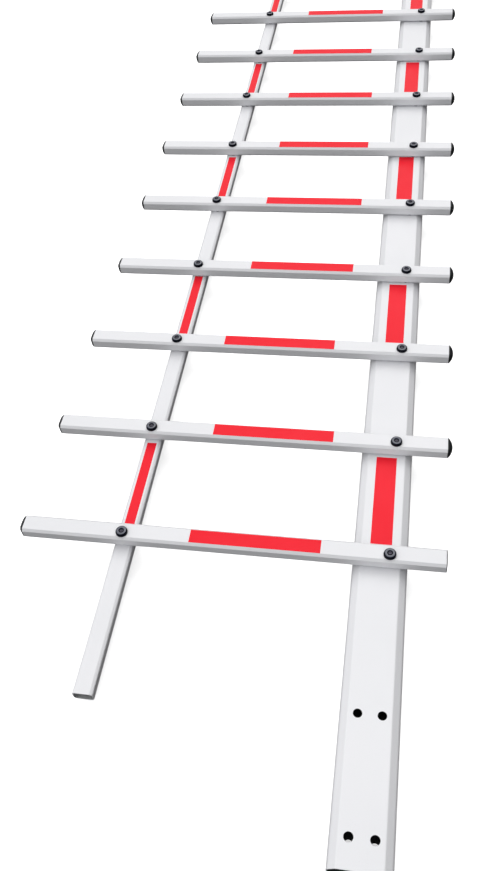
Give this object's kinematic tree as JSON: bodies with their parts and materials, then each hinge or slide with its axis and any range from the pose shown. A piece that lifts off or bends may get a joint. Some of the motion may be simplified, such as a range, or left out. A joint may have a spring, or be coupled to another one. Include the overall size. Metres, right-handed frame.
{
  "type": "barrier gate fence boom",
  "caption": "Folding fence boom for a barrier gate: a wide octagonal boom and a slim lower rail joined by parallel pickets on pivot bolts, so the fence folds flat along the boom.",
  "frame": {"origin": "centre of the boom's four mounting holes, on the boom's back (lower) face, which is the lowest face of the part", "axes": "+Y along the boom from its root to its tip, +Z out of the face that the pickets lie on, +X away from the lower rail"},
  "size_m": [0.8196, 3.0014, 0.0809],
  "materials": {
    "white_coat": "satin white powder coat on extruded tube",
    "black_cap": "moulded black end cap, fine texture",
    "grey_plug": "moulded grey plug, nearly flush",
    "pivot_bolt": "black capped bolt head, satin",
    "red_tape": "red reflective tape",
    "bolt_socket": "dark zinc socket screw seen in the cap"
  },
  "bodies": {
    "boom": {"boom": "white_coat", "boom_tip_cap": "black_cap", "boom_bolt_01": "pivot_bolt", "boom_bolt_02": "pivot_bolt", "boom_bolt_03": "pivot_bolt", "boom_bolt_04": "pivot_bolt", "boom_bolt_05": "pivot_bolt", "boom_bolt_06": "pivot_bolt", "boom_bolt_07": "pivot_bolt", "boom_bolt_08": "pivot_bolt", "boom_bolt_09": "pivot_bolt", "boom_bolt_10": "pivot_bolt"},
    "picket_01": {"picket_01": "white_coat", "picket_01_lower_cap": "black_cap", "picket_01_upper_plug": "grey_plug"},
    "picket_02": {"picket_02": "white_coat", "picket_02_lower_cap": "black_cap", "picket_02_upper_cap": "black_cap"},
    "picket_03": {"picket_03": "white_coat", "picket_03_lower_cap": "black_cap", "picket_03_upper_cap": "black_cap"},
    "picket_04": {"picket_04": "white_coat", "picket_04_lower_cap": "black_cap", "picket_04_upper_cap": "black_cap"},
    "picket_05": {"picket_05": "white_coat", "picket_05_lower_cap": "black_cap", "picket_05_upper_cap": "black_cap"},
    "picket_06": {"picket_06": "white_coat", "picket_06_lower_cap": "black_cap", "picket_06_upper_cap": "black_cap"},
    "picket_07": {"picket_07": "white_coat", "picket_07_lower_cap": "black_cap", "picket_07_upper_cap": "black_cap"},
    "picket_08": {"picket_08": "white_coat", "picket_08_lower_cap": "black_cap", "picket_08_upper_cap": "black_cap"},
    "picket_09": {"picket_09": "white_coat", "picket_09_lower_cap": "black_cap", "picket_09_upper_cap": "black_cap"},
    "picket_10": {"picket_10": "white_coat", "picket_10_lower_cap": "black_cap", "picket_10_upper_cap": "black_cap"},
    "rail": {"rail": "white_coat", "rail_tip_cap": "black_cap", "rail_bolt_01": "pivot_bolt", "rail_bolt_02": "pivot_bolt", "rail_bolt_03": "pivot_bolt", "rail_bolt_04": "pivot_bolt", "rail_bolt_05": "pivot_bolt", "rail_bolt_06": "pivot_bolt", "rail_bolt_07": "pivot_bolt", "rail_bolt_08": "pivot_bolt", "rail_bolt_09": "pivot_bolt", "rail_bolt_10": "pivot_bolt"}
  },
  "joints": [
    {"name": "fence_fold", "type": "hinge", "parent": "boom", "child": "picket_01", "pos_m": [0.017, 0.3815, 0], "axis": [0, 0, 1], "range_deg": [0, 78]},
    {"name": "picket_02_pivot", "type": "hinge", "parent": "boom", "child": "picket_02", "pos_m": [0.017, 0.6415, 0], "axis": [0, 0, 1], "range_deg": [0, 78]},
    {"name": "picket_03_pivot", "type": "hinge", "parent": "boom", "child": "picket_03", "pos_m": [0.017, 0.9015, 0], "axis": [0, 0, 1], "range_deg": [0, 78]},
    {"name": "picket_04_pivot", "type": "hinge", "parent": "boom", "child": "picket_04", "pos_m": [0.017, 1.1615, 0], "axis": [0, 0, 1], "range_deg": [0, 78]},
    {"name": "picket_05_pivot", "type": "hinge", "parent": "boom", "child": "picket_05", "pos_m": [0.017, 1.4215, 0], "axis": [0, 0, 1], "range_deg": [0, 78]},
    {"name": "picket_06_pivot", "type": "hinge", "parent": "boom", "child": "picket_06", "pos_m": [0.017, 1.6815, 0], "axis": [0, 0, 1], "range_deg": [0, 78]},
    {"name": "picket_07_pivot", "type": "hinge", "parent": "boom", "child": "picket_07", "pos_m": [0.017, 1.9415, 0], "axis": [0, 0, 1], "range_deg": [0, 78]},
    {"name": "picket_08_pivot", "type": "hinge", "parent": "boom", "child": "picket_08", "pos_m": [0.017, 2.2015, 0], "axis": [0, 0, 1], "range_deg": [0, 78]},
    {"name": "picket_09_pivot", "type": "hinge", "parent": "boom", "child": "picket_09", "pos_m": [0.017, 2.4615, 0], "axis": [0, 0, 1], "range_deg": [0, 78]},
    {"name": "picket_10_pivot", "type": "hinge", "parent": "boom", "child": "picket_10", "pos_m": [0.017, 2.7215, 0], "axis": [0, 0, 1], "range_deg": [0, 78]},
    {"name": "rail_pivot", "type": "hinge", "parent": "picket_01", "child": "rail", "pos_m": [-0.485, 0.3815, 0], "axis": [0, 0, 1], "range_deg": [-78, 0]}
  ],
  "couplings": [
    {"joint": "picket_02_pivot", "follows": "fence_fold", "ratio": 1},
    {"joint": "picket_03_pivot", "follows": "fence_fold", "ratio": 1},
    {"joint": "picket_04_pivot", "follows": "fence_fold", "ratio": 1},
    {"joint": "picket_05_pivot", "follows": "fence_fold", "ratio": 1},
    {"joint": "picket_06_pivot", "follows": "fence_fold", "ratio": 1},
    {"joint": "picket_07_pivot", "follows": "fence_fold", "ratio": 1},
    {"joint": "picket_08_pivot", "follows": "fence_fold", "ratio": 1},
    {"joint": "picket_09_pivot", "follows": "fence_fold", "ratio": 1},
    {"joint": "picket_10_pivot", "follows": "fence_fold", "ratio": 1},
    {"joint": "rail_pivot", "follows": "fence_fold", "ratio": -1}
  ]
}
